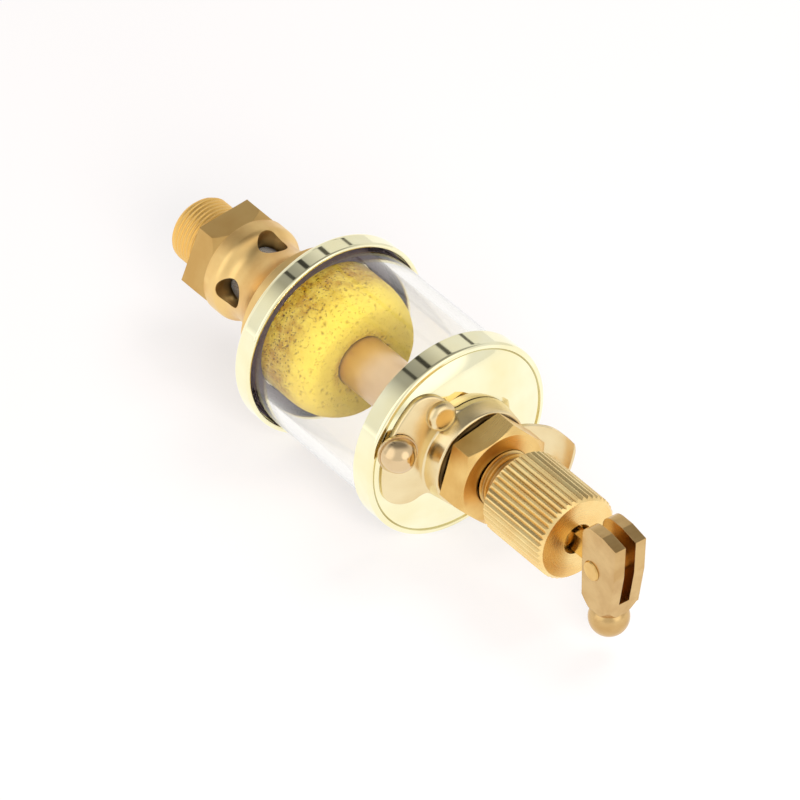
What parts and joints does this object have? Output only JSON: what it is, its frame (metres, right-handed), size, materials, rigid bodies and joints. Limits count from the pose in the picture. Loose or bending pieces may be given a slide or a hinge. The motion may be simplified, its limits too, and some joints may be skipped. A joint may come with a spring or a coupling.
{
  "type": "constant-drip sight-feed oiler",
  "caption": "Drip oil cup with a glass reservoir, foam filter, sight body on a threaded stud, knurled rate nut and a fold-down toggle lever that shuts its needle valve.",
  "frame": {"origin": "on the cup's axis, at the shoulder where the mounting stud meets the hexagon", "axes": "+Z along the axis from the stud to the lever; +Y the way the folded lever points; +X along the lever's pin"},
  "size_m": [0.042, 0.042, 0.135],
  "materials": {
    "turned_brass": "machined, fine turning marks",
    "bright_brass": "polished and bright dipped",
    "pressed_brass": "pressed sheet, polished",
    "tube_brass": "drawn tube, slightly tarnished",
    "clear_glass": "clear",
    "filter_foam": "open-cell foam, matte",
    "dark_gasket": "oil-resistant fibre and rubber, matte",
    "spring_steel": "bright drawn wire"
  },
  "bodies": {
    "cup": {"sight_body": "turned_brass", "sight_glass": "clear_glass", "sight_seal_lower": "dark_gasket", "sight_seal_upper": "dark_gasket", "valve_seat": "turned_brass", "seat_gasket": "dark_gasket", "bottom_cap": "bright_brass", "bottom_gasket": "dark_gasket", "reservoir_glass": "clear_glass", "top_gasket": "dark_gasket", "top_cap": "bright_brass", "foam_filter": "filter_foam", "centre_tube": "tube_brass", "stem": "turned_brass", "clamp_bush": "turned_brass", "lock_nut": "turned_brass", "cover_spring": "spring_steel"},
    "cover": {"cover_plate": "pressed_brass", "cover_knob": "pressed_brass"},
    "needle": {"needle": "turned_brass", "needle_collar": "turned_brass", "needle_spring": "spring_steel"},
    "lever": {"lever": "turned_brass", "lever_pin": "turned_brass"},
    "spring_seat": {"spring_seat": "turned_brass"},
    "adjusting_nut": {"adjusting_nut": "turned_brass"}
  },
  "joints": [
    {"name": "needle_lift", "type": "slide", "parent": "cup", "child": "needle", "axis": [0, 0, 1], "range_m": [0, 0.00112], "deforming": ["needle_spring"]},
    {"name": "lever_hinge", "type": "hinge", "parent": "needle", "child": "lever", "pos_m": [0, 0, 0.11757], "axis": [1, 0, 0], "range_deg": [0, 90]},
    {"name": "seat_travel", "type": "slide", "parent": "cup", "child": "spring_seat", "axis": [0, 0, 1], "range_m": [-0.0045, 0]},
    {"name": "nut_turn", "type": "hinge", "parent": "spring_seat", "child": "adjusting_nut", "pos_m": [0, 0, 0.09097], "axis": [0, 0, 1], "range_deg": [-1080, 0]},
    {"name": "cover_swivel", "type": "hinge", "parent": "cup", "child": "cover", "pos_m": [0, 0, 0.07942], "axis": [0, 0, 1], "range_deg": [-110, 110]}
  ],
  "couplings": [
    {"joint": "lever_hinge", "follows": "needle_lift", "rad_per_m": 1402.5},
    {"joint": "nut_turn", "follows": "seat_travel", "rad_per_m": 4188.8}
  ]
}
